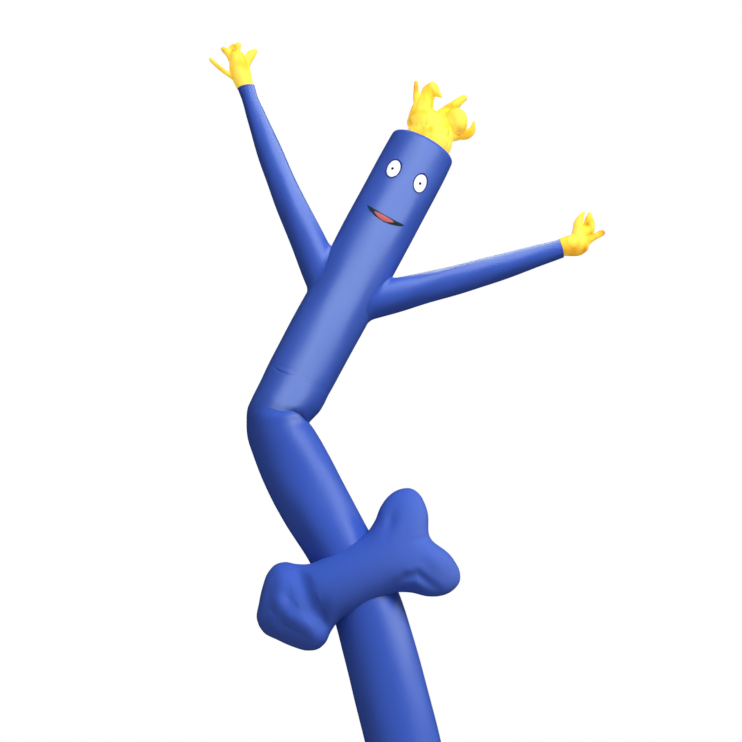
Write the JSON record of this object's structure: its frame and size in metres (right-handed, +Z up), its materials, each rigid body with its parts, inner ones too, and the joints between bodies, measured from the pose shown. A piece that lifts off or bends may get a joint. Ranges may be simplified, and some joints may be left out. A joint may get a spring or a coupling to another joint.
{
  "type": "inflatable air dancer",
  "caption": "Tall inflated cloth figure: a leaning, folded tube body with two raised arms, cloth hands and hair, a smiling face and a puffed arrow.",
  "frame": {"origin": "centre of the open hem at the foot of the tube, on the floor", "axes": "+Z up, the face looks along -Y, the figure leans and folds in the XZ plane"},
  "size_m": [2.6235, 0.5912, 5.5701],
  "materials": {
    "blue_nylon": "coated nylon with a soft sheen",
    "yellow_nylon": "thin crumpled nylon",
    "white_patch": "matte sewn patch",
    "black_patch": "matte sewn patch",
    "dark_patch": "matte sewn patch",
    "coral_patch": "matte sewn patch"
  },
  "bodies": {
    "root": {"body_lower": "blue_nylon", "body_upper": "blue_nylon", "head_cap": "blue_nylon", "arm_left": "blue_nylon", "arm_right": "blue_nylon", "arrow": "blue_nylon", "hair": "yellow_nylon", "hand_left": "yellow_nylon", "hand_right": "yellow_nylon", "eye_left": "white_patch", "eye_right": "white_patch", "pupil_left": "black_patch", "pupil_right": "black_patch", "mouth": "dark_patch", "tongue": "coral_patch"}
  },
  "joints": []
}
